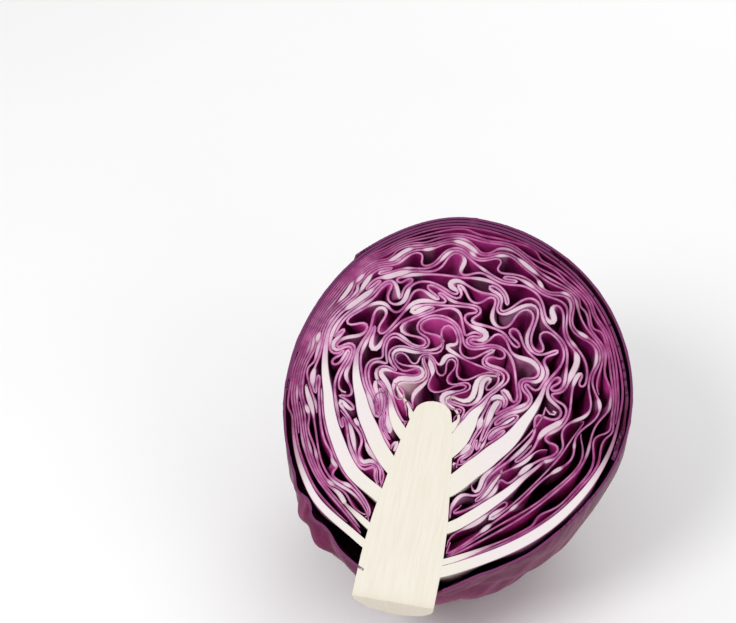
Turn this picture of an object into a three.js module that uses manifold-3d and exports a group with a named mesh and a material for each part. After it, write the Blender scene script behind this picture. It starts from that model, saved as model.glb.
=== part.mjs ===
// Half of a red cabbage, cut through its core, lying on its round back.
// Millimetres. The model is first made in the head's own frame: origin at the growing tip, +Z along the
// core towards the top of the head, +X to the right of the cut face and +Y from the cut face into the head.
// The finished half is then leant back on its flat spot, and its origin moved to the middle of its footprint.
import * as THREE from "three";
import { mergeVertices } from "three/addons/utils/BufferGeometryUtils.js";
import Module from "manifold-3d";

const wasm = await Module();
wasm.setup();

// ---- Driving dimensions ----
const CUT_TILT = 27; // degrees between the cut face and the surface it lies on
const REST_HEIGHT = 78.2; // growing tip above the surface; flattens the back where it rests
const FLAT_TRIM = 0.15; // shaved off the outer leaf there, so the flat spot is one plane
const STEM_END = -84; // cut end of the stem below the growing tip
const CLEARANCE = 0.35; // gap kept between a leaf and the core that it grows from

// Radius of the head at 30 degree steps from its top (0) to its stem (180), on its right, back and left.
const PROFILE = {
  right: [90, 88, 84, 80, 75, 73, 78],
  back: [90, 88, 85, 84, 82, 80, 78],
  left: [90, 82, 71, 65, 64.5, 69, 78],
};
const PROFILE_STEP = 30;

// Radius of the core at heights below and above the growing tip.
const CORE_PROFILE = [
  [16.5, STEM_END],
  [16.5, -66],
  [15.5, -50],
  [13.5, -35],
  [11, -20],
  [8.5, -9],
  [5, -1],
  [0, 3],
];

// Leaves from the outside in. grows says which side of the core the midrib is on, height is where it
// leaves the core, and rib is the midrib's thickness at its base.
const WRAPPER_LEAVES = [
  { name: "wrapper_leaf_1", midrib: 50, reach: 205, half: 76, thick: 1.3 },
  { name: "wrapper_leaf_2", midrib: 146, reach: 200, half: 84, thick: 1.0 },
  { name: "wrapper_leaf_3", midrib: 92, reach: 208, half: 100, thick: 1.2 },
];
const HEAD_LEAVES = [
  { grows: "right", height: -69, rib: 6 },
  { grows: "left", height: -67, rib: 4.5 },
  { grows: "back", height: -66, rib: 6 },
  { grows: "right", height: -62, rib: 4.5 },
  { grows: "back", height: -60, rib: 6 },
  { grows: "left", height: -55, rib: 4.5 },
  { grows: "back", height: -53, rib: 6 },
  { grows: "right", height: -50, rib: 6.5 },
  { grows: "back", height: -46, rib: 6 },
  { grows: "left", height: -41, rib: 7 },
  { grows: "back", height: -39, rib: 6 },
  { grows: "right", height: -33, rib: 9 },
  { grows: "back", height: -31, rib: 6 },
  { grows: "left", height: -28, rib: 7 },
  { grows: "back", height: -25, rib: 5 },
  { grows: "back", height: -19, rib: 5 },
  { grows: "right", height: -14, rib: 8 },
  { grows: "left", height: -13, rib: 6 },
  { grows: "back", height: -11, rib: 4 },
  { grows: "right", height: -6, rib: 4 },
  { grows: "left", height: -5, rib: 4 },
  { grows: "back", height: -3, rib: 3 },
];
const WRAPPER_SHARE = 0.0365; // share of the radius that each wrapper leaf takes up
const HEART_SHARE = 0.14; // share left as the hollow round the growing tip
const LAMINA = 1.0; // thickness of a head leaf away from its midrib
const LEAST_THICKNESS = 0.35; // of a leaf where the room runs out near the core
const LEAF_GAP = 1.8; // least gap between one leaf and the next
const RIB_WIDTH = 9; // half the width of a midrib's swelling
const FAR_MARGIN = 62; // how far down the other side a leaf reaches, in degrees from the top
const FAR_MARGIN_STEP = 7; // and how much further one leaf reaches than the next, in a cycle of FAR_MARGIN_CYCLE
const FAR_MARGIN_CYCLE = 5;
const BACK_MARGIN = 104; // the same for a leaf that grows from the back
const BASE_OVERRUN = 7; // degrees that a leaf's base runs on into the core before the core is cut out of it

const RAD = Math.PI / 180;
const clamp01 = (x) => Math.min(1, Math.max(0, x));
const smooth = (x) => clamp01(x) ** 2 * (3 - 2 * clamp01(x));
const mix = (a, b, k) => a + (b - a) * k;

// ---- Shape of the head ----

// One profile's radius, rounded through its points.
function profileRadius(radii, polar) {
  const at = Math.min(polar / PROFILE_STEP, radii.length - 1.0001);
  const i = Math.floor(at);
  const t = at - i;
  const [p0, p1, p2, p3] = [-1, 0, 1, 2].map((k) => radii[Math.min(Math.abs(i + k), radii.length - 1)]);
  return p1 + (t * (p2 - p0)) / 2 + t * t * (p0 - 2.5 * p1 + 2 * p2 - p3 / 2) + (t ** 3 * (p3 - p0 + 3 * (p1 - p2))) / 2;
}

// Unit vector at a polar angle from the top and an azimuth round the core, from the right (0) to the left (180).
function direction(polar, azimuth) {
  const [p, a] = [polar * RAD, azimuth * RAD];
  return new THREE.Vector3(Math.sin(p) * Math.cos(a), Math.sin(p) * Math.sin(a), Math.cos(p));
}

const DOWN = new THREE.Vector3(0, Math.cos(CUT_TILT * RAD), -Math.sin(CUT_TILT * RAD));

// Radius of the head's surface in a direction, pressed flat where the head rests.
function headRadius(dir) {
  const polar = Math.acos(Math.min(1, Math.max(-1, dir.z))) / RAD;
  const across = Math.hypot(dir.x, dir.y) || 1;
  const sideShare = (dir.x / across) ** 2;
  const side = profileRadius(dir.x >= 0 ? PROFILE.right : PROFILE.left, polar);
  const round = mix(profileRadius(PROFILE.back, polar), side, sideShare);
  const towardsFloor = dir.dot(DOWN);
  return towardsFloor > 0.2 ? Math.min(round, REST_HEIGHT / towardsFloor) : round;
}

// Radius of the core at a height, between the points of its profile.
function coreRadius(height) {
  const next = CORE_PROFILE.findIndex(([, z]) => z >= height);
  if (next <= 0) return CORE_PROFILE[0][0];
  const [[r0, z0], [r1, z1]] = [CORE_PROFILE[next - 1], CORE_PROFILE[next]];
  return mix(r0, r1, (height - z0) / (z1 - z0));
}

// ---- Where each head leaf lies between the surface and the growing tip ----

const SIDE_AZIMUTH = { right: 0, back: 90, left: 180 };
const HEAD_SHARE = 1 - WRAPPER_LEAVES.length * WRAPPER_SHARE;

// Where a leaf joins the core: its direction from the tip, and the share of the head's radius there.
function attachment({ grows, height }) {
  const r = coreRadius(height);
  const polar = 180 - Math.atan2(r, -height) / RAD;
  const share = Math.hypot(r, height) / headRadius(direction(polar, SIDE_AZIMUTH[grows]));
  return { polar, share: Math.min(share, HEAD_SHARE) };
}

// Near the core the room on a side is shared out between the leaves that grow there.
function baseRoom(side) {
  const room = HEAD_LEAVES.map(() => 0);
  const here = HEAD_LEAVES.map((leaf, i) => ({ i, leaf })).filter(({ leaf }) => leaf.grows === side);
  here.forEach(({ i, leaf }, n) => {
    const outer = n === 0 ? HEAD_SHARE : attachment(leaf).share;
    const inner = n + 1 < here.length ? attachment(here[n + 1].leaf).share : HEART_SHARE * 0.5;
    room[i] = outer - inner;
  });
  const total = room.reduce((a, b) => a + b, 0);
  return room.map((x) => (x * (HEAD_SHARE - HEART_SHARE)) / total);
}
const ROOM = { right: baseRoom("right"), back: baseRoom("back"), left: baseRoom("left") };
const EVEN_ROOM = (HEAD_SHARE - HEART_SHARE) / HEAD_LEAVES.length;
const CROWN_END = 70; // over the crown, out to this angle, every leaf has the same room
const BASE_START = 150; // and from this angle down it has the room that its base takes up

// Share of the radius that one head leaf has in a direction.
function leafRoom(i, dir) {
  const polar = Math.acos(Math.min(1, Math.max(-1, dir.z))) / RAD;
  const across = Math.hypot(dir.x, dir.y) || 1;
  const sideShare = (dir.x / across) ** 2;
  const atBase = mix(ROOM.back[i], (dir.x >= 0 ? ROOM.right : ROOM.left)[i], sideShare);
  return mix(EVEN_ROOM, atBase, smooth((polar - CROWN_END) / (BASE_START - CROWN_END)));
}

function leafOuterShare(i, dir) {
  let share = HEAD_SHARE;
  for (let k = 0; k < i; k++) share -= leafRoom(k, dir);
  return share;
}

// ---- Solids ----

// A closed sheet from a grid of outer points and the grid of inner points behind them.
function sheetGeometry(outer, inner, triangles, rim) {
  const points = [...outer, ...inner].flatMap((p) => [p.x, p.y, p.z]);
  const n = outer.length;
  const index = [];
  for (const [a, b, c] of triangles) index.push(a, b, c, n + a, n + c, n + b);
  rim.forEach((a, k) => {
    const b = rim[(k + 1) % rim.length];
    index.push(b, a, n + a, b, n + a, n + b);
  });
  const geometry = new THREE.BufferGeometry();
  geometry.setAttribute("position", new THREE.Float32BufferAttribute(points, 3));
  geometry.setIndex(index);
  return geometry;
}

function toSolid(geometry) {
  const bare = geometry.clone();
  bare.deleteAttribute("normal");
  bare.deleteAttribute("uv");
  const merged = mergeVertices(bare, 1e-4);
  return new wasm.Manifold(
    new wasm.Mesh({
      numProp: 3,
      vertProperties: merged.attributes.position.array,
      triVerts: new Uint32Array(merged.index.array),
    }),
  );
}

// The largest body of a solid, as a geometry. Crumbs that a cut leaves behind are dropped.
function toGeometry(solid) {
  const [largest] = solid.decompose().sort((a, b) => b.volume() - a.volume());
  const mesh = largest.getMesh();
  const points = [];
  for (let i = 0; i < mesh.numVert; i++) {
    points.push(...mesh.vertProperties.slice(i * mesh.numProp, i * mesh.numProp + 3));
  }
  const geometry = new THREE.BufferGeometry();
  geometry.setAttribute("position", new THREE.Float32BufferAttribute(points, 3));
  geometry.setIndex([...mesh.triVerts]);
  return geometry;
}

const HALF_SPACE = toSolid(new THREE.BoxGeometry(400, 200, 400).translate(0, 100, 0));

// The core, turned round +Z and grown by a margin on every side.
function coreSolid(margin, segments) {
  const [bottom] = CORE_PROFILE;
  const tip = CORE_PROFILE[CORE_PROFILE.length - 1];
  const outline = [
    new THREE.Vector2(0, bottom[1] - margin),
    new THREE.Vector2(bottom[0] + margin, bottom[1] - margin),
    ...CORE_PROFILE.slice(1, -1).map(([r, z]) => new THREE.Vector2(r + margin, z + margin / 2)),
    new THREE.Vector2(0, tip[1] + margin),
  ];
  return toSolid(new THREE.LatheGeometry(outline, segments).rotateX(Math.PI / 2));
}

// A head leaf is a hood over the crown. It reaches down to the core on the side that it grows from.
const HOOD_DETAIL = [
  { upTo: 8, rings: 13, azimuths: [0, 7, 16, 29, 43, 57, 70, 83, 97, 110, 123, 137, 151, 164, 173, 180] },
  { upTo: 15, rings: 10, azimuths: [0, 10, 25, 41, 57, 73, 90, 107, 123, 139, 155, 170, 180] },
  { upTo: Infinity, rings: 7, azimuths: [0, 15, 40, 65, 90, 115, 140, 165, 180] },
];
function headLeafGeometry(leaf, i) {
  const { rings, azimuths } = HOOD_DETAIL.find(({ upTo }) => i < upTo);
  const { polar: base } = attachment(leaf);
  const far = leaf.grows === "back" ? BACK_MARGIN : FAR_MARGIN + (i % FAR_MARGIN_CYCLE) * FAR_MARGIN_STEP;
  const middle = SIDE_AZIMUTH[leaf.grows];
  const outer = [];
  const inner = [];
  const place = (polar, azimuth) => {
    const dir = direction(polar, azimuth);
    const radius = headRadius(dir);
    const top = leafOuterShare(i, dir) * radius;
    const fromMidrib = top * Math.sin(polar * RAD) * Math.abs(Math.sin((azimuth - middle) * RAD));
    const onSide = Math.abs(azimuth - middle) < 90 ? Math.exp(-((fromMidrib / RIB_WIDTH) ** 2)) : 0;
    const thick = mix(LAMINA, leaf.rib, onSide * smooth((polar - 55) / 80));
    const room = leafRoom(i, dir) * radius - LEAF_GAP;
    outer.push(dir.clone().multiplyScalar(top));
    inner.push(dir.clone().multiplyScalar(top - Math.max(LEAST_THICKNESS, Math.min(thick, room))));
  };
  place(0, 0);
  for (const azimuth of azimuths) {
    const facing = Math.cos((azimuth - middle) * RAD);
    const near = leaf.grows === "back" ? facing ** 2 : ((1 + facing) / 2) ** 2;
    const end = mix(far, base + BASE_OVERRUN, near);
    for (let ring = 1; ring <= rings; ring++) place((end * ring) / rings, azimuth);
  }
  const at = (column, ring) => (ring === 0 ? 0 : 1 + column * rings + ring - 1);
  const triangles = [];
  for (let c = 0; c + 1 < azimuths.length; c++) {
    triangles.push([0, at(c, 1), at(c + 1, 1)]);
    for (let r = 1; r < rings; r++) {
      triangles.push([at(c, r), at(c, r + 1), at(c + 1, r + 1)], [at(c, r), at(c + 1, r + 1), at(c + 1, r)]);
    }
  }
  const rim = [0];
  for (let r = 1; r <= rings; r++) rim.push(at(0, r));
  for (let c = 1; c < azimuths.length; c++) rim.push(at(c, rings));
  for (let r = rings - 1; r >= 1; r--) rim.push(at(azimuths.length - 1, r));
  return sheetGeometry(outer, inner, triangles, rim);
}

// A wrapper leaf is a broad blade laid over the head along its midrib, from the stem up and over the crown.
const BLADE_STEPS = 18;
const BLADE_COLUMNS = 16;
const BLADE_START = 9; // degrees from the stem's axis at which the blade's base begins
function wrapperLeafGeometry(leaf, i) {
  const across = direction(90, leaf.midrib + 90);
  const outer = [];
  const inner = [];
  for (let s = 0; s <= BLADE_STEPS; s++) {
    const along = s / BLADE_STEPS;
    const middle = direction(180 - mix(BLADE_START, leaf.reach, along), leaf.midrib);
    const width = leaf.half * bladeWidth(along);
    for (let c = 0; c <= BLADE_COLUMNS; c++) {
      const turn = ((c / BLADE_COLUMNS) * 2 - 1) * width * RAD;
      const dir = middle.clone().multiplyScalar(Math.cos(turn)).addScaledVector(across, Math.sin(turn));
      const top = headRadius(dir) * (1 - i * WRAPPER_SHARE);
      outer.push(dir.clone().multiplyScalar(top));
      inner.push(dir.clone().multiplyScalar(top - leaf.thick * (1 - 0.35 * along)));
    }
  }
  return gridSheet(outer, inner, BLADE_STEPS, BLADE_COLUMNS);
}

// Half-width of a blade along its midrib: narrow where it leaves the stem, broad over the middle, round at the tip.
function bladeWidth(along) {
  return Math.min(1, 0.3 + 2.6 * along) * Math.sqrt(clamp01(1 - Math.max(0, (along - 0.72) / 0.3) ** 2));
}

function gridSheet(outer, inner, steps, columns) {
  const at = (s, c) => s * (columns + 1) + c;
  const triangles = [];
  for (let s = 0; s < steps; s++) {
    for (let c = 0; c < columns; c++) {
      triangles.push([at(s, c), at(s, c + 1), at(s + 1, c + 1)], [at(s, c), at(s + 1, c + 1), at(s + 1, c)]);
    }
  }
  const rim = [];
  for (let c = 0; c < columns; c++) rim.push(at(0, c));
  for (let s = 0; s < steps; s++) rim.push(at(s, columns));
  for (let c = columns; c > 0; c--) rim.push(at(steps, c));
  for (let s = steps; s > 0; s--) rim.push(at(s, 0));
  return sheetGeometry(outer, inner, triangles, rim);
}

// ---- Assembly ----

const head = new THREE.Group();

function material(colour, roughness) {
  return new THREE.MeshStandardMaterial({ color: colour, roughness, metalness: 0 });
}
const LEAF_SKIN = material(0x7a2a6b, 0.45);
const INNER_SKIN = material(0xb678b4, 0.5);
const CORE_FLESH = material(0xeee8d6, 0.6);

function addPiece(name, solid, look) {
  const mesh = new THREE.Mesh(toGeometry(solid), look);
  mesh.name = name;
  head.add(mesh);
}

// Everything above the flat spot that the head rests on.
const aboveFloor = toSolid(
  new THREE.BoxGeometry(400, 400, 400)
    .translate(0, 0, -200)
    .applyQuaternion(new THREE.Quaternion().setFromUnitVectors(new THREE.Vector3(0, 0, 1), DOWN))
    .translate(...DOWN.clone().multiplyScalar(REST_HEIGHT - FLAT_TRIM).toArray()),
);

addPiece("core", coreSolid(0, 24).intersect(HALF_SPACE), CORE_FLESH);
const coreRoom = coreSolid(CLEARANCE, 24);
WRAPPER_LEAVES.forEach((leaf, i) => {
  const blade = toSolid(wrapperLeafGeometry(leaf, i));
  addPiece(leaf.name, blade.intersect(HALF_SPACE).intersect(aboveFloor).subtract(coreRoom), LEAF_SKIN);
});
HEAD_LEAVES.forEach((leaf, i) => {
  const name = `head_leaf_${String(i + 1).padStart(2, "0")}`;
  addPiece(name, toSolid(headLeafGeometry(leaf, i)).subtract(coreRoom), INNER_SKIN);
});

// Lean the half back on its flat spot, and put the origin at the bottom middle of its box.
const part = new THREE.Group();
part.add(head);
head.rotation.x = (CUT_TILT - 90) * RAD;
head.updateMatrixWorld(true);
const box = new THREE.Box3().setFromObject(head, true);
head.position.set(-(box.min.x + box.max.x) / 2, -(box.min.y + box.max.y) / 2, -box.min.z);

export default part;
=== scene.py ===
# Half of a red cabbage, cut through its core: folded leaves round a white stem, in waxy wrapper leaves.
# Shapes are made in millimetres in the head's own frame: origin at the growing tip, +Z along the core
# towards the top of the head, +X to the right of the cut face, +Y from the cut face into the head.
import math

import bpy
import numpy as np
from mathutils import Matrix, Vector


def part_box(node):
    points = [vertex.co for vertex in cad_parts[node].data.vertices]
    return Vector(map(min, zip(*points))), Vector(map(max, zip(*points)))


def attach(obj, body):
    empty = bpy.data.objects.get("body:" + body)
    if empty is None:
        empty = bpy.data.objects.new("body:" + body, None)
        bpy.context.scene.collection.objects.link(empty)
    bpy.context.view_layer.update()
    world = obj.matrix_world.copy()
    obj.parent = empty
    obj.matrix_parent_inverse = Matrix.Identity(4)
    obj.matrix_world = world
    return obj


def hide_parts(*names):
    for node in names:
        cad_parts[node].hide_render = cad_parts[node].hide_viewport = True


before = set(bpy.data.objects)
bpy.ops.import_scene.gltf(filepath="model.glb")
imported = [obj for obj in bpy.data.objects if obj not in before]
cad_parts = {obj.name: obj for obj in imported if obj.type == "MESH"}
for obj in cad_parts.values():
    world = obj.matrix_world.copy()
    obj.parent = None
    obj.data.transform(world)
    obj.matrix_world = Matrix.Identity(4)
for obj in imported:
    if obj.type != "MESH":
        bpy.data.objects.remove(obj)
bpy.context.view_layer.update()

# ---- Driving dimensions (mm, degrees) ----
CUT_TILT = 27.0  # between the cut face and the surface
STEM_END = -84.0
TIP_ABOVE = 3.0  # top of the core above the growing tip
HEAD_RIGHT = [90, 88, 84, 80, 75, 73, 78]  # radius of the head every 30 degrees from its top to its stem
HEAD_BACK = [90, 88, 85, 84, 82, 80, 78]
HEAD_LEFT = [90, 82, 71, 65, 64.5, 69, 78]
CORE_HEIGHTS = [STEM_END, -66, -50, -35, -20, -9, -4]
CORE_RADII = [16.5, 16.5, 15.5, 13.5, 11.5, 9.5, 8.2]
DOME_START = -4  # the core ends in a round dome above this height
LEAF_EDGE = 0.952  # share of the head's radius inside the wrapper leaves

# Share of the head's radius at which a leaf lies, at these angles from the top, on each side.
SHARE_ANGLES = [0, 60, 90, 120, 140, 160]
RIGHT_SHARES = {
    1: [0.935, 0.935, 0.935, 0.935, 0.935, 0.93],
    4: [0.865, 0.885, 0.875, 0.875, 0.875, 0.88],
    8: [0.765, 0.80, 0.70, 0.635, 0.655, 0.70],
    12: [0.63, 0.595, 0.465, 0.42, 0.43, 0.48],
    17: [0.40, 0.30, 0.205, 0.215, 0.25, 0.28],
    20: [0.25, 0.20, 0.15, 0.15, 0.16, 0.18],
    22: [0.155, 0.15, 0.11, 0.11, 0.12, 0.13],
}
LEFT_SHARES = {
    1: [0.935, 0.935, 0.935, 0.935, 0.935, 0.93],
    2: [0.912, 0.915, 0.91, 0.92, 0.92, 0.87],
    6: [0.82, 0.875, 0.86, 0.825, 0.80, 0.775],
    10: [0.72, 0.825, 0.69, 0.645, 0.64, 0.60],
    14: [0.54, 0.60, 0.475, 0.42, 0.42, 0.43],
    18: [0.36, 0.34, 0.28, 0.26, 0.25, 0.245],
    21: [0.20, 0.19, 0.16, 0.15, 0.14, 0.14],
    22: [0.155, 0.15, 0.11, 0.11, 0.12, 0.13],
}
# Leaves whose midrib lies in the cut face: its side, length and thickness at the core.
MIDRIBS = {
    1: (1, 105, 4.5), 4: (1, 24, 2.5), 8: (1, 52, 4.5),
    12: (1, 64, 8.0), 17: (1, 30, 7.5), 20: (1, 9, 3.5),
    2: (-1, 70, 3.2), 6: (-1, 18, 2.6), 10: (-1, 90, 5.5),
    14: (-1, 62, 6.5), 18: (-1, 22, 4.5), 21: (-1, 8, 3.0),
}
LEAF_COUNT = 22
# How much longer each leaf grows than the room it has, how thick it is and how stiffly it bends.
LEAF_NUMBERS = [1, 6, 8, 10, 13, 17, 22]
GROWTH = [1.03, 1.10, 1.25, 1.55, 1.88, 2.05, 2.2]
THICKNESS = [0.85, 0.9, 1.0, 1.15, 1.2, 1.1, 0.8]
STIFFNESS = [1.0, 1.0, 0.8, 0.45, 0.25, 0.2, 0.15]
FOLD_LEAVES = [5, 7, 9, 11, 13, 15]  # leaves whose wings are also cut as loose folds beside the core

NODE_STEP = 0.8  # between the nodes of a leaf's line before it grows
NODE_GAP = 0.15  # kept between two leaves that touch
VEIN_THICKNESS = 1.5  # how much a cut side vein adds to a leaf
THICKEST_FREE = 2.4  # thickest that a leaf counts as, away from its rib
THICKEST_RIB = 1.3  # and along its rib, which fillers widen
FILLER_WIDTH = 1.1
FILLED_RIB = 1.9  # ribs thicker than this get fillers
CONTACT_REACH = 2.7
END_GROWTH = 1.7  # growth near the free ends of leaves that don't reach the core
GROWTH_STEPS = 1500
GROWING_SHARE = 0.85  # share of the steps in which the leaves grow; they settle in the rest
GROWTH_DELAY = 0.06
BEND_STRENGTHS = [0.06, 0.04, 0.02]  # against bending over 1, 2 and 3 nodes
STIFFNESS_FLOOR = 0.3  # leaves softer than this don't resist the widest bend
LARGEST_PUSH = 0.35  # farthest that one step of contact moves a node
SLICE_TIMES = [1.0, 0.86, 0.72, 0.58, 0.45, 0.3]  # how far the growth had come in each deeper slice
SLICE_DEPTHS = [0, 4, 9, 15, 22, 32]
DEEPEST = 80
SWEEP_ANGLE = 84.0  # how far round the back of the head a leaf is swept
ROW_CROWDING = 1.7  # rows lie closer near the cut face
SKIN_LINE = 0.3  # width of the dark line that the skin makes along each side of a cut leaf
BEHIND_FACE = 0.12  # what lies inside the core or a rib ends this far behind the cut face
ROW_COUNT = 17  # rows of vertices from the cut face to the back of a leaf

MM = 0.001
rng = np.random.default_rng(7)


def smooth(x):
    x = np.clip(x, 0, 1)
    return x * x * (3 - 2 * x)


# ---- Frame of the head ----
core_low, core_high = (np.array(corner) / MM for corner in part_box("core"))
TILT = math.radians(CUT_TILT)
AXES = np.array(
    [[1, 0, 0], [0, math.sin(TILT), -math.cos(TILT)], [0, math.cos(TILT), math.sin(TILT)]]
)
TIP = np.array([
    (core_low[0] + core_high[0]) / 2,
    core_high[1] - TIP_ABOVE * math.cos(TILT),
    core_high[2] - TIP_ABOVE * math.sin(TILT),
])


def to_world(points):
    """Points of the head's frame, in metres in the part's frame."""
    return (points @ AXES + TIP) * MM


def profile_radius(radii, angle):
    at = np.minimum(np.abs(angle) / 30, 5.9999)
    i = at.astype(int)
    t = at - i
    values = np.array(radii, float)
    p0, p1, p2, p3 = (values[np.minimum(np.abs(i + k), 6)] for k in (-1, 0, 1, 2))
    cubic = t**3 * (p3 - p0 + 3 * (p1 - p2)) / 2
    return p1 + t * (p2 - p0) / 2 + t * t * (p0 - 2.5 * p1 + 2 * p2 - p3 / 2) + cubic


def head_radius(points):
    """Radius of the head in the direction of each point, before it is pressed flat below."""
    across = np.hypot(points[:, 0], points[:, 1])
    angle = np.degrees(np.arctan2(across, points[:, 2]))
    right, left = profile_radius(HEAD_RIGHT, angle), profile_radius(HEAD_LEFT, angle)
    side = np.where(points[:, 0] >= 0, right, left)
    share = (points[:, 0] / np.maximum(across, 1e-9)) ** 2
    return side * share + profile_radius(HEAD_BACK, angle) * (1 - share)


def cut_radius(angle):
    """Radius of the cut face at signed angles (radians) from the top."""
    degrees = np.degrees(angle)
    return np.where(degrees >= 0, profile_radius(HEAD_RIGHT, degrees), profile_radius(HEAD_LEFT, degrees))


def core_radius(height):
    dome = np.clip((height - DOME_START) / (TIP_ABOVE - DOME_START), 0, 1)
    return np.interp(height, CORE_HEIGHTS, CORE_RADII) * np.sqrt(1 - dome**2)


# ---- Growth of the leaves in the cut face ----

def share_at(number, angle):
    def shares(table):
        keys = sorted(table)
        return [np.interp(number, keys, [table[k][m] for k in keys]) for m in range(len(SHARE_ANGLES))]

    right, left = shares(RIGHT_SHARES), shares(LEFT_SHARES)
    right[0] = left[0] = (right[0] + left[0]) / 2
    degrees = np.degrees(angle)
    return np.where(
        degrees >= 0,
        np.interp(np.abs(degrees), SHARE_ANGLES, right),
        np.interp(np.abs(degrees), SHARE_ANGLES, left),
    )


def start_line(number, low, high, from_core):
    """A leaf's line in the cut face before it grows, from angle low to angle high (degrees)."""
    angle = np.radians(np.arange(low, high, 0.5))
    share = share_at(number, angle)
    share = np.convolve(np.pad(share, 7, "edge"), np.ones(15) / 15, "valid")
    radius = share * cut_radius(angle)
    line = np.stack([radius * np.sin(angle), radius * np.cos(angle)], -1)
    clear = np.abs(line[:, 0]) > core_radius(line[:, 1]) - 3.5
    middle = len(line) // 2
    before, after = np.where(~clear[:middle])[0], np.where(~clear[middle:])[0]
    line = line[(before[-1] + 1 if len(before) else 0):(middle + after[0] if len(after) else len(line))]
    if from_core > 0:
        line = line[::-1]
    length = np.concatenate([[0], np.cumsum(np.hypot(*np.diff(line, axis=0).T))])
    at = np.arange(int(length[-1] / NODE_STEP) + 1) * NODE_STEP
    line = np.stack([np.interp(at, length, line[:, k]) for k in (0, 1)], -1)
    for _ in range(6):
        line[1:-1] = (line[:-2] + line[2:] + 2 * line[1:-1]) / 4
    return line


def normals_of(line):
    along = np.gradient(line, axis=0)
    normal = np.stack([-along[:, 1], along[:, 0]], -1)
    return normal / (np.hypot(*normal.T)[:, None] + 1e-9)


def waves(arc, short, long, count):
    return sum(
        rng.normal() * np.sin(arc * 2 * np.pi / rng.uniform(short, long) + rng.uniform(0, 6.3))
        for _ in range(count)
    )


def leaf_lines():
    """Every line that the cut makes through a leaf, with the leaf's number and what its nodes are like."""
    jobs = []
    for number in range(1, LEAF_COUNT + 1):
        far = 75 + (number - 1) % 5 * 11
        if number not in MIDRIBS:
            jobs.append((number, number, -150 + rng.uniform(-8, 8), 150 + rng.uniform(-8, 8), 0))
        elif MIDRIBS[number][0] > 0:
            jobs.append((number, number, -far, 176, 1))
        else:
            jobs.append((number, number, -176, far, -1))
    for number in FOLD_LEAVES:
        for side in (1, -1):
            ends = sorted((side * rng.uniform(96, 112), side * rng.uniform(145, 156)))
            jobs.append((number, number + 0.5, ends[0], ends[1], None))
    lines = []
    for number, place, low, high, rib_side in jobs:
        line = start_line(place, low, high, 1 if rib_side == 1 else 0)
        arc = np.arange(len(line)) * NODE_STEP
        thick = np.full(len(line), np.interp(place, LEAF_NUMBERS, THICKNESS))
        growth = np.full(len(line), np.interp(place, LEAF_NUMBERS, GROWTH))
        fixed = np.zeros(len(line))
        if rib_side in (1, -1):
            _, length, base = MIDRIBS[number]
            fade = smooth((arc - 0.3 * length) / (0.8 * length))
            thick = np.maximum(base * (1 - fade) + thick * fade, thick)
            fixed[arc < length] = 1
        elif rib_side == 0:
            growth[:12] = growth[-12:] = END_GROWTH
        else:
            growth[:] = rng.uniform(1.7, 2.2)
            thick[:] = 0.8
        vein = np.clip(waves(arc, 9, 31, 4) / 2.2 - 0.3, 0, 1) * (1 - fixed) * smooth((number - 4) / 3)
        thick = thick + VEIN_THICKNESS * vein
        strength = 0.08 if number < 9 else 0.2
        line = line + normals_of(line) * (waves(arc, 7, 22, 6) * strength * (1 - fixed))[:, None]
        uneven = 1 + 0.5 * waves(arc, 25, 80, 2) + 0.3 * waves(arc, 10, 25, 2)
        uneven = np.clip(uneven, 0.2, 2.0) * rng.uniform(0.8, 1.2)
        stiff = np.clip(1 + 0.7 * waves(arc, 12, 50, 2), 0.1, 2)
        stiff = np.minimum(np.interp(place, LEAF_NUMBERS, STIFFNESS) * stiff, 1.0)
        growth = 1 + (growth - 1) * uneven * (1 - fixed)
        lines.append({
            "leaf": number, "line": line, "thick": thick, "growth": growth, "fixed": fixed,
            "stiff": stiff, "vein": vein, "rib_side": rib_side,
        })
    return lines


def near_pairs(points, reach):
    """Pairs of points closer than reach, found through a grid of cells."""
    cell = np.floor((points + 200) / reach).astype(int)
    key = cell[:, 0] * 4096 + cell[:, 1]
    order = np.argsort(key, kind="stable")
    ordered = key[order]
    firsts, seconds = [], []
    for dx, dz in ((0, 0), (1, 0), (0, 1), (1, 1), (1, -1)):
        target = key + dx * 4096 + dz
        start = np.searchsorted(ordered, target, "left")
        count = np.searchsorted(ordered, target, "right") - start
        first = np.repeat(np.arange(len(points)), count)
        offset = np.arange(count.sum()) - np.repeat(np.cumsum(count) - count, count)
        second = order[np.repeat(start, count) + offset]
        if dx == 0 and dz == 0:
            ordered_pair = first < second
            first, second = first[ordered_pair], second[ordered_pair]
        firsts.append(first)
        seconds.append(second)
    first, second = np.concatenate(firsts), np.concatenate(seconds)
    close = np.hypot(*(points[first] - points[second]).T) < reach
    return first[close], second[close]


def rib_fillers(points, thick, fixed, chain):
    """Points that fill the thick midribs, so that nothing grows through them, and the nodes they are at."""
    index = np.arange(len(points))
    low, high = np.clip(index - 1, 0, None), np.clip(index + 1, None, len(points) - 1)
    low, high = np.where(chain[low] == chain, low, index), np.where(chain[high] == chain, high, index)
    along = points[high] - points[low]
    normal = np.stack([-along[:, 1], along[:, 0]], -1) / (np.hypot(*along.T)[:, None] + 1e-9)
    is_rib = (fixed > 0) & (thick > FILLED_RIB)
    fillers, owners = [], []
    for offset in np.arange(-4, 4.1, 0.8):
        inside = is_rib & (abs(offset) <= thick / 2 - 0.5)
        fillers.append(points[inside] + offset * normal[inside])
        owners.append(index[inside])
    for side in (-1, 1):
        fillers.append(points[is_rib] + side * normal[is_rib] * (thick[is_rib] / 2 - 0.5)[:, None])
        owners.append(index[is_rib])
    return np.concatenate(fillers), np.concatenate(owners)


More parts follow.
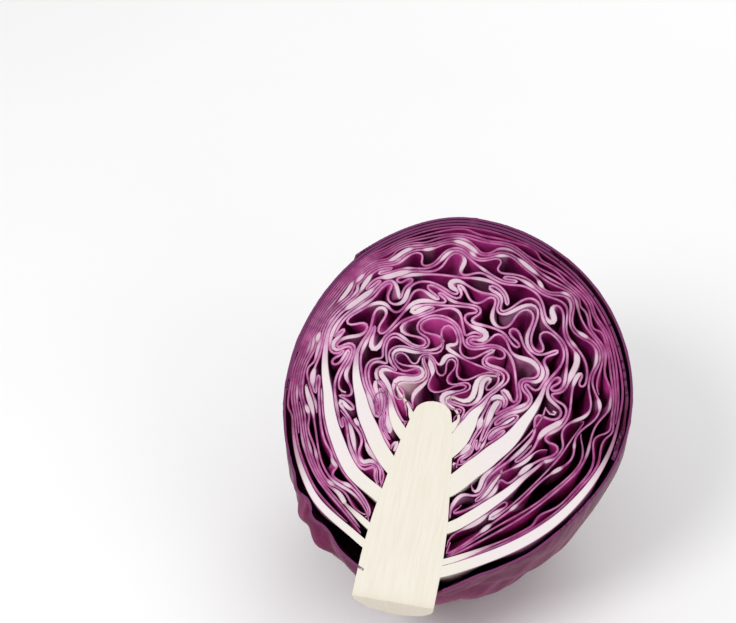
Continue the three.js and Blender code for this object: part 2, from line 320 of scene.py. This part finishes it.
def grow(lines):
    """Lengthens the lines little by little while they push one another into folds.

    Returns the nodes at each of SLICE_TIMES, latest first.
    """
    points = np.concatenate([part["line"] for part in lines])
    thick, growth, fixed, stiff = (
        np.concatenate([part[key] for part in lines]) for key in ("thick", "growth", "fixed", "stiff")
    )
    chain = np.concatenate([np.full(len(part["line"]), k) for k, part in enumerate(lines)])
    count = len(points)
    index = np.arange(count)
    free = 1 - fixed
    link = np.where(chain[:-1] == chain[1:])[0]
    link_growth = (growth[link] + growth[link + 1]) / 2
    is_even = link % 2 == 0
    halves = [(link[is_even], link_growth[is_even]), (link[~is_even], link_growth[~is_even])]
    bends = []
    near, middle, wide = BEND_STRENGTHS
    strengths = near, middle * stiff, wide * np.maximum(stiff - STIFFNESS_FLOOR, 0)
    for step, strength in enumerate(strengths, 1):
        at = index[(index >= 2 * step) & (index < count - 2 * step)]
        at = at[chain[at - 2 * step] == chain[at + 2 * step]]
        bends.append((at, step, (np.broadcast_to(strength, count) * free)[at]))
    fillers, owner = rib_fillers(points, thick, fixed, chain)
    own = np.concatenate([index, owner])
    total = len(own)
    is_filler = np.arange(total) >= count
    pushed = np.concatenate([free, np.zeros(len(fillers))])
    counted = np.minimum(thick, np.where(fixed > 0, THICKEST_RIB, THICKEST_FREE))
    width = np.concatenate([counted, np.full(len(fillers), FILLER_WIDTH)])
    slices = {}
    for step in range(GROWTH_STEPS):
        progress = min(step / (GROWTH_STEPS * GROWING_SHARE), 1)
        grown = max(0, (progress - GROWTH_DELAY) / (1 - GROWTH_DELAY))
        swell = min(1, 0.45 + progress * 4)
        for _ in range(3):
            for start, amount in halves:
                between = points[start + 1] - points[start]
                length = np.hypot(*between.T) + 1e-9
                share = np.maximum(free[start] + free[start + 1], 1e-9)
                target = NODE_STEP * (1 + (amount - 1) * grown)
                move = ((length - target) / length / share)[:, None] * between
                points[start] += move * free[start][:, None]
                points[start + 1] -= move * free[start + 1][:, None]
        for at, gap, strength in bends:
            bend = (
                points[at - 2 * gap] - 4 * points[at - gap] + 6 * points[at]
                - 4 * points[at + gap] + points[at + 2 * gap]
            )
            points[at] -= strength[:, None] * bend
        everything = np.concatenate([points, fillers])
        if step % 4 == 0:
            first, second = near_pairs(everything, CONTACT_REACH)
            a, b = own[first], own[second]
            apart = np.where(is_filler[first] | is_filler[second], 16, 3)
            same = (chain[a] == chain[b]) & (np.abs(a - b) <= apart)
            can_touch = ~same & ~((fixed[a] > 0) & (fixed[b] > 0))
            first, second = first[can_touch], second[can_touch]
        between = everything[second] - everything[first]
        length = np.hypot(*between.T) + 1e-9
        need = ((width[first] + width[second]) / 2 + NODE_GAP) * swell
        hit = (length < need) & (pushed[first] + pushed[second] > 0)
        i, j = first[hit], second[hit]
        move = ((need - length)[hit] / length[hit] / (pushed[i] + pushed[j]))[:, None] * between[hit]
        push = np.stack([
            np.bincount(j, move[:, k] * pushed[j], total) - np.bincount(i, move[:, k] * pushed[i], total)
            for k in (0, 1)
        ], -1)
        touches = np.bincount(i, minlength=total) + np.bincount(j, minlength=total)
        push = (push * (1.4 / np.maximum(touches, 1.4))[:, None])[:count]
        size = np.hypot(*push.T)
        points += push * (np.minimum(size, LARGEST_PUSH) / np.maximum(size, 1e-9) * free)[:, None]
        core = core_radius(points[:, 1]) + 0.7
        inside = (free > 0) & (points[:, 1] < TIP_ABOVE) & (np.abs(points[:, 0]) < core)
        points[inside, 0] = np.where(points[inside, 0] >= 0, 1, -1) * core[inside]
        radius = np.hypot(*points.T)
        outline = cut_radius(np.arctan2(points[:, 0], points[:, 1]))
        limit = LEAF_EDGE * outline - np.minimum(thick, THICKEST_RIB) / 2
        points *= np.where((radius > limit) & (free > 0), limit / radius, 1)[:, None]
        for time in SLICE_TIMES[1:]:
            if time not in slices and progress >= time:
                slices[time] = points.copy()
    slices[1.0] = points
    starts = np.cumsum([0] + [len(part["line"]) for part in lines])
    return [[slices[time][starts[k]:starts[k + 1]] for time in SLICE_TIMES] for k in range(len(lines))]


# ---- Meshes ----

def warp(points):
    """A gentle shift that grows with depth, the same for all leaves, so that they lean as they go in."""
    x, y, z = points.T
    amount = 2.2 * (1 - np.exp(-y / 9))
    shift = np.zeros_like(points)
    shift[:, 0] = amount * (np.sin(x / 7 + 1.0) * np.cos(z / 9) + 0.5 * np.sin(z / 5 + 2))
    shift[:, 2] = amount * (np.cos(x / 8 - 0.6) * np.sin(z / 7 + 0.4) + 0.5 * np.sin(x / 5))
    return points + shift


def press_flat(points):
    """Keeps world points on or above the surface that the half rests on."""
    points[:, 2] = np.maximum(points[:, 2], 0.0)
    return points


def add_piece(name, vertices, faces, attributes, material, node):
    mesh = bpy.data.meshes.new(name)
    mesh.from_pydata(vertices.tolist(), [], faces)
    for key, values in attributes.items():
        layer = mesh.attributes.new(key, "FLOAT", "POINT")
        layer.data.foreach_set("value", np.asarray(values, dtype=np.float32))
    mesh.polygons.foreach_set("use_smooth", [True] * len(mesh.polygons))
    mesh.set_sharp_from_angle(angle=math.radians(55))
    mesh.materials.append(material)
    piece = bpy.data.objects.new(name, mesh)
    bpy.context.scene.collection.objects.link(piece)
    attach(piece, "root")
    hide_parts(node)


def grid_faces(first, rows, columns, flip=False):
    """Quads over a grid of vertices whose rows follow one another from index first."""
    faces = []
    for r in range(rows - 1):
        for c in range(columns - 1):
            a = first + r * columns + c
            quad = (a, a + 1, a + 1 + columns, a + columns)
            faces.append(quad[::-1] if flip else quad)
    return faces


def rib_nodes(lines, grown):
    """Position, half thickness and line index of every node of the midribs in the cut face."""
    places, halves, owners = [], [], []
    for k, (part, slices) in enumerate(zip(lines, grown)):
        is_rib = part["fixed"] > 0
        places.append(slices[0][is_rib])
        halves.append(part["thick"][is_rib] / 2)
        owners.append(np.full(is_rib.sum(), k))
    return np.concatenate(places), np.concatenate(halves), np.concatenate(owners)


def inside_ribs(edge, free, places, halves):
    """Which free points of an edge lie inside another leaf's midrib."""
    apart = np.hypot(edge[:, 0, None] - places[:, 0], edge[:, 2, None] - places[:, 1])
    return free & (apart < halves - 0.1).any(axis=1)


def swept_leaf(part, slices, other_ribs):
    """One cut line of a leaf, swept back into the head and drawn together behind the growing tip."""
    front = slices[0]
    n = len(front)
    arc = np.arange(n) * NODE_STEP
    share = np.hypot(*front.T) / cut_radius(np.arctan2(front[:, 0], front[:, 1]))
    reach = HEAD_BACK[3] * np.clip(share, 0.1, 1)
    lamina = part["thick"].min()
    vein = part["vein"]
    ends = np.ones(n)
    taper = np.minimum(np.arange(n), 6) / 6
    if part["rib_side"] in (0, None):
        ends *= 0.45 + 0.55 * taper
    ends *= 0.45 + 0.55 * taper[::-1]
    rows, sides, whites = [], [[], []], []
    for k in range(ROW_COUNT):
        v = (k / (ROW_COUNT - 1)) ** ROW_CROWDING
        depth = np.minimum(reach * math.sin(v * math.radians(SWEEP_ANGLE)), DEEPEST)
        flat = np.stack([
            np.array([np.interp(depth[m], SLICE_DEPTHS, [s[m, axis] for s in slices]) for m in range(n)])
            for axis in (0, 1)
        ], -1)
        radius = np.hypot(*flat.T)
        angle = np.arctan2(flat[:, 0], flat[:, 1])
        inward = depth * cut_radius(angle) / HEAD_BACK[3]
        left_over = np.sqrt(np.maximum(radius**2 - inward**2, (0.06 * radius) ** 2))
        flat = flat * (left_over / np.maximum(radius, 1e-9))[:, None]
        for _ in range(2 if k else 1):
            flat[1:-1] = (flat[:-2] + flat[2:] + 2 * flat[1:-1]) / 4
        thin = np.exp(-(depth / 9) ** 2)
        thick = (lamina + (part["thick"] - lamina) * thin) * ends
        normal = normals_of(flat)
        for side, sign in ((0, 1), (1, -1)):
            edge = flat + normal * (sign * thick / 2)[:, None]
            sides[side].append(np.stack([edge[:, 0], depth, edge[:, 1]], -1))
        rows.append((flat, normal, thick))
    flat, normal, thick = rows[0]
    inset = np.minimum(SKIN_LINE, thick * 0.3)
    cap = [sides[0][0], sides[1][0]]
    for offset in (thick / 2 - inset, np.zeros(n), inset - thick / 2):
        edge = flat + normal * offset[:, None]
        cap.append(np.stack([edge[:, 0], np.zeros(n), edge[:, 1]], -1))
    for edge in cap:
        in_core = np.abs(edge[:, 0]) < core_radius(edge[:, 2]) - 0.2
        edge[in_core | inside_ribs(edge, part["fixed"] == 0, *other_ribs), 1] = BEHIND_FACE
    cap = cap[2:]
    vertices = np.concatenate([*sides[0], *sides[1], *cap])
    faces = grid_faces(0, ROW_COUNT, n) + grid_faces(ROW_COUNT * n, ROW_COUNT, n, flip=True)
    cap_first = 2 * ROW_COUNT * n
    strips = [0, cap_first, cap_first + n, cap_first + 2 * n, ROW_COUNT * n]
    for a, b in zip(strips, strips[1:]):
        faces += [(a + c, b + c, b + c + 1, a + c + 1) for c in range(n - 1)]
    last = (ROW_COUNT - 1) * n
    back = ROW_COUNT * n + last
    faces += [(last + c, last + c + 1, back + c + 1, back + c) for c in range(n - 1)]
    for c, flip in ((0, False), (n - 1, True)):
        for k in range(ROW_COUNT - 1):
            quad = (k * n + c, (k + 1) * n + c, (ROW_COUNT + k + 1) * n + c, (ROW_COUNT + k) * n + c)
            faces.append(quad[::-1] if flip else quad)
        rim = (c, ROW_COUNT * n + c, cap_first + 2 * n + c, cap_first + n + c, cap_first + c)
        faces.append(rim[::-1] if flip else rim)
    rib = smooth((part["thick"] - VEIN_THICKNESS * vein - lamina) / 2.2)
    pale = np.maximum(rib, 0.62 * smooth(vein / 0.5))
    flesh = np.concatenate([np.zeros(2 * ROW_COUNT * n), np.ones(3 * n)])
    white = np.concatenate([np.tile(pale, 2 * ROW_COUNT), np.tile(pale, 3)])
    base = np.zeros(n) if part["rib_side"] not in (1, -1) else smooth(1 - arc / 30)
    bare = np.tile(base, 2 * ROW_COUNT + 3)
    return vertices, faces, {"flesh": flesh, "white": white, "bare": bare}


def make_head_leaves(material):
    lines = leaf_lines()
    grown = grow(lines)
    places, halves, owners = rib_nodes(lines, grown)
    for number in range(1, LEAF_COUNT + 1):
        vertices, faces, attributes = [], [], {"flesh": [], "white": [], "bare": [], "inner": []}
        first = 0
        for k, (part, slices) in enumerate(zip(lines, grown)):
            if part["leaf"] != number:
                continue
            other_ribs = places[owners != k], halves[owners != k]
            points, quads, values = swept_leaf(part, slices, other_ribs)
            vertices.append(press_flat(to_world(warp(points))))
            faces += [tuple(i + first for i in quad) for quad in quads]
            for key in ("flesh", "white", "bare"):
                attributes[key].append(values[key])
            attributes["inner"].append(np.full(len(points), (number - 1) / (LEAF_COUNT - 1)))
            first += len(points)
        name, node = f"leaf_{number:02d}_folded", f"head_leaf_{number:02d}"
        joined = {key: np.concatenate(values) for key, values in attributes.items()}
        add_piece(name, np.concatenate(vertices), faces, joined, material, node)


# ---- Core ----

def make_core(material):
    """The stem: a round back, a flat cut face and a cut end."""
    heights = np.concatenate([np.linspace(STEM_END, -1, 110), np.linspace(-0.6, TIP_ABOVE - 0.05, 10)])
    radii = core_radius(heights)
    radii[5:-10] = np.convolve(radii, np.ones(11) / 11, "valid")[:-5]
    columns = 48
    vertices = []
    for turn in np.linspace(0, math.pi, columns):
        ridge = 1 + 0.012 * math.sin(turn * 9) * (1 - abs(math.cos(turn)))
        x, y = radii * math.cos(turn) * ridge, radii * math.sin(turn) * ridge
        vertices.append(np.stack([x, y, heights], -1))
    n = len(heights)
    across = 24
    for f in np.linspace(1, -1, across)[1:-1]:
        vertices.append(np.stack([radii * f, np.zeros(n), heights], -1))
    vertices = np.concatenate(vertices)
    faces = grid_faces(0, columns, n)
    order = [0] + [columns + k for k in range(across - 2)] + [columns - 1]
    for a, b in zip(order, order[1:]):
        faces += [(a * n + r, b * n + r, b * n + r + 1, a * n + r + 1) for r in range(n - 1)]
    outline = list(range(columns)) + [columns + k for k in reversed(range(across - 2))]
    faces.append(tuple(k * n for k in outline))
    faces.append(tuple(k * n + n - 1 for k in reversed(outline)))
    values = {"stem_end": np.clip(vertices[:, 2] / STEM_END, 0, 1)}
    add_piece("core_cut", to_world(vertices), faces, values, material, "core")


# ---- Wrapper leaves ----
# Each is a broad blade: azimuth of its midrib, reach over the crown and half its width, all in degrees.
WRAPPERS = [(50, 205, 76), (146, 200, 84), (92, 208, 100)]
WRAPPER_PITCH = 0.016  # share of the head's radius from one blade to the next
BLADE_THICKNESS = 0.95
BLADE_ROWS = 230
BLADE_COLUMNS = 170
BLADE_START = 9  # degrees from the stem
PRESSED_PITCH = 1.2  # from one blade to the next where they are pressed flat
PRESSED_MARGIN = 0.02  # kept above the surface that the half rests on
STEM_FLARE = 2.5
LEFT_FLARE = 5.5
RIGHT_FLARE = 3.5
FOLD_HEIGHT = 0.9


def blade_width(along):
    tip = np.sqrt(np.clip(1 - np.maximum(0, (along - 0.72) / 0.3) ** 2, 0, 1))
    return np.minimum(1, 0.3 + 2.6 * along) * tip


def vein_relief(heading, azimuth, seed):
    """Height (mm) and paleness of the midrib and of the side veins that fork from it."""
    up = np.degrees(np.arccos(np.clip(-heading[:, 2], -1, 1)))
    turn = (np.degrees(np.arctan2(heading[:, 1], heading[:, 0])) - azimuth + 180) % 360 - 180
    outward = np.abs(turn)
    aside = np.radians(outward) * np.sin(np.radians(up)) * HEAD_BACK[3]
    midrib = np.exp(-(aside / np.interp(up, [0, 60, 160], [7.5, 3.2, 1.2])) ** 2)
    height, pale = 1.5 * midrib, midrib * np.interp(up, [0, 60, 160], [1.0, 0.8, 0.35])
    fade = smooth((150 - outward) / 30) * smooth(up / 25)
    for side in (-1, 1):
        here = fade * smooth(side * turn / 2 + 0.5)
        for k in range(9):
            start = 7 + 17 * k + 3 * math.sin(seed * 3 + 2.3 * k + side)
            wander = 1.6 * np.sin(outward * 0.09 + 2.1 * k + seed + side)
            wander = wander + 0.5 * np.sin(outward * 0.31 + 3 * k)
            path = start + 0.42 * outward + 0.0022 * outward**2 + wander
            width = np.interp(outward, [0, 90], [1.5, 1.0])
            line = np.exp(-((up - path) / width) ** 2) * here * np.interp(outward, [0, 100], [1.0, 0.45])
            fork = path + (0.30 if k % 2 else -0.24) * np.maximum(outward - 22 - 3 * (k % 3), 0)
            branch = np.exp(-((up - fork) / (0.85 * width)) ** 2) * here * smooth((outward - 22) / 10)
            height = height + 0.45 * line + 0.25 * branch
            pale = np.maximum(pale, np.maximum(0.6 * line, 0.35 * branch))
    return height, pale


def bump_at(heading, polar, azimuth, spread):
    p, a = math.radians(polar), math.radians(azimuth)
    middle = np.array([math.sin(p) * math.cos(a), math.sin(p) * math.sin(a), math.cos(p)])
    return np.exp((heading @ middle - 1) / (1 - math.cos(math.radians(spread))))


def flares(heading):
    """How far (mm) the wrapper leaves stand off the head: along the stem and in two loose places."""
    stem = STEM_FLARE * smooth((np.degrees(np.arccos(np.clip(heading[:, 2], -1, 1))) - 154) / 14)
    crumple = 0.6 + 0.4 * np.sin(heading[:, 2] * 31) * np.sin(heading[:, 1] * 37 + heading[:, 0] * 11)
    left = LEFT_FLARE * bump_at(heading, 146, 172, 17) * crumple
    right = RIGHT_FLARE * bump_at(heading, 138, 30, 24) * (0.8 + 0.2 * crumple)
    return stem + left + right


def stem_folds(heading):
    """Height (mm) of the folds that run up the outside from the stem and fade towards the widest part."""
    turn = np.arctan2(heading[:, 1], heading[:, 0])
    height = smooth((np.degrees(np.arccos(np.clip(heading[:, 2], -1, 1))) - 96) / 45)
    sway = 0.5 * np.sin(heading[:, 2] * 6 + 1)
    return FOLD_HEIGHT * height * (np.sin(turn * 9 + sway) + 0.6 * np.sin(turn * 17 + 2 * sway + 1) - 0.6)


def wrapper_grid(k):
    azimuth, reach, half = WRAPPERS[k]
    along, across = np.meshgrid(
        np.linspace(0, 1, BLADE_ROWS), np.linspace(-1, 1, BLADE_COLUMNS), indexing="ij"
    )
    along, across = along.ravel(), across.ravel()
    wide = smooth(along / 0.4)
    ragged = wide * (0.012 * np.sin(along * 37 + k) + 0.009 * np.sin(along * 71 + 2 * k))
    turn = np.radians(across * half * blade_width(along) * (1 + ragged))
    polar = np.radians(180 - (BLADE_START + (reach - BLADE_START) * along))
    a = math.radians(azimuth)
    middle = np.stack([np.sin(polar) * math.cos(a), np.sin(polar) * math.sin(a), np.cos(polar)], -1)
    sideways = np.array([-math.sin(a), math.cos(a), 0])
    heading = middle * np.cos(turn)[:, None] + sideways * np.sin(turn)[:, None]
    relief, pale = vein_relief(heading, azimuth, 1.7 * k + 0.4)
    margin = wide * np.abs(across) ** 8
    ripple = margin * (1.0 + 0.5 * np.sin(along * 60 + 3 * k) + 0.35 * np.sin(along * 131 + k))
    cockle = 0.5 * np.sin(heading[:, 0] * 17) * np.sin(heading[:, 2] * 15) * np.sin(heading[:, 1] * 13)
    radius = head_radius(heading) * (1 - k * WRAPPER_PITCH) - 0.5 + 0.35 * relief + 0.7 * ripple + cockle
    radius = radius + flares(heading) + stem_folds(heading)
    return heading, radius, pale, relief


def make_wrapper(k, material):
    heading, radius, pale, relief = wrapper_grid(k)
    outer = heading * radius[:, None]
    inner = heading * (radius - BLADE_THICKNESS - 0.6 * relief)[:, None]
    whole = heading[:, 1].reshape(BLADE_ROWS, BLADE_COLUMNS) >= 0
    down = np.array([0, math.cos(TILT), -math.sin(TILT)])
    for surface, lift in ((outer, 0.0), (inner, BLADE_THICKNESS)):
        below = surface @ down - (TIP[2] - lift - PRESSED_MARGIN - k * PRESSED_PITCH)
        surface -= np.maximum(below, 0)[:, None] * down
    n = BLADE_ROWS * BLADE_COLUMNS
    faces = []
    cells = (whole[:-1, :-1] | whole[1:, :-1] | whole[:-1, 1:] | whole[1:, 1:])
    rows, columns = np.where(cells)
    corner = rows * BLADE_COLUMNS + columns
    used = set(zip(rows.tolist(), columns.tolist()))
    for base in corner.tolist():
        quad = (base, base + 1, base + 1 + BLADE_COLUMNS, base + BLADE_COLUMNS)
        faces.append(quad)
        faces.append(tuple(n + i for i in reversed(quad)))
    for r, c in used:
        base = r * BLADE_COLUMNS + c
        border = (
            ((r - 1, c), base + 1, base), ((r + 1, c), base + BLADE_COLUMNS, base + BLADE_COLUMNS + 1),
            ((r, c - 1), base, base + BLADE_COLUMNS), ((r, c + 1), base + BLADE_COLUMNS + 1, base + 1),
        )
        for beside, p, q in border:
            if beside not in used:
                faces.append((q, p, n + p, n + q))
    vertices = np.concatenate([outer, inner])
    values = {"flesh": np.zeros(2 * n), "pale": np.concatenate([pale, pale])}
    vertices, faces, values = cut_at_face(vertices, faces, values)
    name, node = f"wrapper_{k + 1}_skin", f"wrapper_leaf_{k + 1}"
    add_piece(name, press_flat(to_world(vertices)), faces, values, material, node)


def cut_at_face(vertices, faces, values):
    """Flattens what crosses the cut face onto it, and drops the vertices that no face uses."""
    vertices = vertices.copy()
    crossing = vertices[:, 1] < 0
    vertices[crossing, 1] = 0
    values["flesh"] = np.where(crossing, 1.0, values["flesh"])
    used = np.zeros(len(vertices), bool)
    used[np.unique(np.concatenate([np.array(face) for face in faces]))] = True
    place = np.cumsum(used) - 1
    faces = [tuple(int(place[i]) for i in face) for face in faces]
    return vertices[used], faces, {key: np.asarray(v)[used] for key, v in values.items()}


# ---- Materials ----

class Nodes:
    """Short calls to lay out one material's nodes."""

    def __init__(self, name):
        self.material = bpy.data.materials.new(name)
        self.material.use_nodes = True
        self.tree = self.material.node_tree
        self.shader = self.tree.nodes["Principled BSDF"]

    def link(self, source, target):
        self.tree.links.new(source, target)

    def attribute(self, name):
        node = self.tree.nodes.new("ShaderNodeAttribute")
        node.attribute_name = name
        return node.outputs["Fac"]

    def coordinates(self, scale=(1, 1, 1)):
        place = self.tree.nodes.new("ShaderNodeTexCoord")
        mapping = self.tree.nodes.new("ShaderNodeMapping")
        mapping.inputs["Scale"].default_value = scale
        self.link(place.outputs["Object"], mapping.inputs["Vector"])
        return mapping.outputs["Vector"]

    def noise(self, scale, detail=4, vector=None, roughness=0.55):
        node = self.tree.nodes.new("ShaderNodeTexNoise")
        node.inputs["Scale"].default_value = scale
        node.inputs["Detail"].default_value = detail
        node.inputs["Roughness"].default_value = roughness
        self.link(vector or self.coordinates(), node.inputs["Vector"])
        return node.outputs["Fac"]

    def network(self, scale):
        """1 on the lines between cells, 0 inside them."""
        node = self.tree.nodes.new("ShaderNodeTexVoronoi")
        node.feature = "DISTANCE_TO_EDGE"
        node.inputs["Scale"].default_value = scale
        self.link(self.coordinates(), node.inputs["Vector"])
        return self.math("SUBTRACT", 1.0, self.math("MULTIPLY", node.outputs["Distance"], 9.0))

    def ramp(self, source, stops):
        node = self.tree.nodes.new("ShaderNodeValToRGB")
        elements = node.color_ramp.elements
        while len(elements) < len(stops):
            elements.new(0.5)
        for element, (position, colour) in zip(elements, stops):
            element.position = position
            element.color = (*colour, 1)
        self.link(source, node.inputs["Fac"])
        return node.outputs["Color"]

    def mix(self, factor, a, b, blend="MIX"):
        node = self.tree.nodes.new("ShaderNodeMix")
        node.data_type = "RGBA"
        node.blend_type = blend
        for value, key in ((factor, "Factor"), (a, "A"), (b, "B")):
            socket = node.inputs[key]
            if isinstance(value, bpy.types.NodeSocket):
                self.link(value, socket)
            else:
                socket.default_value = value if isinstance(value, (int, float)) else (*value, 1)
        return node.outputs["Result"]

    def math(self, operation, a, b=0.0):
        node = self.tree.nodes.new("ShaderNodeMath")
        node.operation = operation
        node.use_clamp = True
        for value, socket in ((a, node.inputs[0]), (b, node.inputs[1])):
            if isinstance(value, bpy.types.NodeSocket):
                self.link(value, socket)
            else:
                socket.default_value = value
        return node.outputs["Value"]

    def bump(self, height, strength, distance):
        node = self.tree.nodes.new("ShaderNodeBump")
        node.inputs["Strength"].default_value = strength
        node.inputs["Distance"].default_value = distance
        self.link(height, node.inputs["Height"])
        self.link(node.outputs["Normal"], self.shader.inputs["Normal"])

    def finish(self, colour, roughness, coat, specular):
        self.link(colour, self.shader.inputs["Base Color"])
        self.link(roughness, self.shader.inputs["Roughness"])
        self.shader.inputs["Coat Weight"].default_value = coat
        self.shader.inputs["Coat Roughness"].default_value = 0.3
        self.shader.inputs["Specular IOR Level"].default_value = specular
        return self.material


def head_leaf_material():
    """Magenta skin, pale moist flesh where it is cut, white along the ribs."""
    n = Nodes("folded_leaf")
    inner = n.attribute("inner")
    patch = n.noise(55, 3)
    skin = n.ramp(patch, [
        (0.3, (0.085, 0.004, 0.04)), (0.5, (0.26, 0.010, 0.12)), (0.7, (0.52, 0.05, 0.28)),
    ])
    skin = n.mix(n.math("MULTIPLY", n.attribute("white"), 0.5), skin, (0.62, 0.36, 0.56))
    mottle = n.noise(150, 5)
    outer_flesh = n.ramp(mottle, [(0.35, (0.13, 0.015, 0.075)), (0.65, (0.36, 0.09, 0.24))])
    inner_flesh = n.ramp(mottle, [(0.35, (0.37, 0.085, 0.27)), (0.65, (0.72, 0.38, 0.60))])
    flesh = n.mix(n.math("MULTIPLY", inner, 1.9), outer_flesh, inner_flesh)
    flesh = n.mix(n.attribute("white"), flesh, (0.80, 0.73, 0.735))
    colour = n.mix(n.math("POWER", n.attribute("flesh"), 1.6), skin, flesh)
    colour = n.mix(n.attribute("bare"), colour, (0.80, 0.755, 0.665))
    roughness = n.math("ADD", n.math("MULTIPLY", mottle, 0.25), 0.22)
    n.bump(n.noise(900, 3), 0.25, 0.0004)
    return n.finish(colour, roughness, 0.1, 0.3)


def core_material():
    """Creamy flesh with fibres along the stem, a little browner and drier at its cut end."""
    n = Nodes("core_flesh")
    fibres = n.noise(1, 5, n.coordinates((900, 60, 60)))
    cloud = n.noise(45, 3)
    colour = n.ramp(fibres, [
        (0.25, (0.76, 0.70, 0.59)), (0.55, (0.80, 0.755, 0.665)), (0.8, (0.83, 0.79, 0.72)),
    ])
    colour = n.mix(n.math("MULTIPLY", cloud, 0.3), colour, (0.82, 0.775, 0.64))
    dry = n.math("MULTIPLY", n.math("POWER", n.attribute("stem_end"), 45), 0.3)
    colour = n.mix(dry, colour, (0.60, 0.48, 0.33))
    roughness = n.math("ADD", n.math("MULTIPLY", cloud, 0.2), 0.33)
    n.bump(fibres, 0.12, 0.0004)
    return n.finish(colour, roughness, 0.1, 0.3)


def wrapper_material():
    """Waxy wine-purple skin with a dull bloom, pale veins and pale flesh where it is cut."""
    n = Nodes("wrapper_skin")
    patch = n.noise(16, 5)
    skin = n.ramp(patch, [
        (0.3, (0.03, 0.002, 0.012)), (0.5, (0.075, 0.004, 0.028)), (0.72, (0.18, 0.012, 0.07)),
    ])
    fine = n.noise(1, 4, n.coordinates((220, 220, 60)))
    skin = n.mix(n.math("MULTIPLY", fine, 0.3), skin, (0.18, 0.014, 0.075))
    threads = n.network(150)
    skin = n.mix(n.math("MULTIPLY", threads, 0.08), skin, (0.42, 0.08, 0.25))
    skin = n.mix(n.math("MULTIPLY", n.attribute("pale"), 0.7), skin, (0.40, 0.11, 0.22))
    bloom = n.noise(9, 3)
    skin = n.mix(n.math("MULTIPLY", bloom, 0.10), skin, (0.20, 0.08, 0.17))
    colour = n.mix(n.math("POWER", n.attribute("flesh"), 3.0), skin, (0.17, 0.035, 0.12))
    roughness = n.math("ADD", n.math("MULTIPLY", bloom, 0.35), 0.22)
    n.bump(n.math("ADD", n.noise(420, 4), n.math("MULTIPLY", threads, 0.3)), 0.35, 0.0005)
    return n.finish(colour, roughness, 0.06, 0.16)


def floor_material():
    n = Nodes("pale_floor")
    colour = n.ramp(n.noise(3, 2), [(0.3, (0.93, 0.93, 0.93)), (0.7, (0.95, 0.95, 0.95))])
    n.shader.inputs["Roughness"].default_value = 0.7
    n.link(colour, n.shader.inputs["Base Color"])
    return n.material


# ---- Stage ----
VIEW_AZIMUTH = 13.5
VIEW_ELEVATION = 38
VIEW_DISTANCE = 840.0
VIEW_LENS = 100
AIM_LEFT = 27.1  # the camera's axis passes this far left of and above the growing tip
AIM_ABOVE = 39.7
FLOOR_HALF = 3.0  # m
LIGHTS_AIM = [0, 0, 0.06]  # m


def make_camera():
    a, e = math.radians(VIEW_AZIMUTH), math.radians(VIEW_ELEVATION)
    back = np.array([math.sin(a) * math.cos(e), -math.cos(a) * math.cos(e), math.sin(e)])
    right = np.array([math.cos(a), math.sin(a), 0])
    up = np.cross(back, right)
    place = TIP - AIM_LEFT * right + AIM_ABOVE * up + VIEW_DISTANCE * back
    data = bpy.data.cameras.new("camera")
    data.lens = VIEW_LENS
    data.sensor_width = 36
    camera = bpy.data.objects.new("camera", data)
    bpy.context.scene.collection.objects.link(camera)
    camera.location = place * MM
    camera.rotation_euler = (math.radians(90 - VIEW_ELEVATION), 0, a)
    bpy.context.scene.camera = camera


def make_light(name, place, size, power):
    data = bpy.data.lights.new(name, "AREA")
    data.shape = "DISK"
    data.size = size
    data.energy = power
    light = bpy.data.objects.new(name, data)
    bpy.context.scene.collection.objects.link(light)
    light.location = place
    towards = np.array(LIGHTS_AIM) - np.array(place)
    yaw = math.atan2(towards[1], towards[0])
    dip = math.atan2(-towards[2], math.hypot(towards[0], towards[1]))
    light.rotation_euler = (math.radians(90) - dip, 0, yaw - math.radians(90))


def make_stage():
    mesh = bpy.data.meshes.new("floor")
    corners = [(x * FLOOR_HALF, y * FLOOR_HALF, 0) for x, y in ((-1, -1), (1, -1), (1, 1), (-1, 1))]
    mesh.from_pydata(corners, [], [(0, 1, 2, 3)])
    mesh.materials.append(floor_material())
    floor = bpy.data.objects.new("floor", mesh)
    bpy.context.scene.collection.objects.link(floor)
    world = bpy.data.worlds.new("studio")
    world.use_nodes = True
    world.node_tree.nodes["Background"].inputs["Color"].default_value = (1, 1, 1, 1)
    world.node_tree.nodes["Background"].inputs["Strength"].default_value = 0.62
    bpy.context.scene.world = world
    bpy.context.scene.view_settings.view_transform = "Standard"
    make_light("key", (-0.5, -0.7, 0.9), 0.5, 6)
    make_light("fill", (0.9, -0.5, 0.6), 0.8, 2)
    make_light("back", (0.1, 0.9, 0.8), 0.8, 3)


make_camera()
make_stage()
make_core(core_material())
skin = wrapper_material()
for wrapper in range(len(WRAPPERS)):
    make_wrapper(wrapper, skin)
make_head_leaves(head_leaf_material())
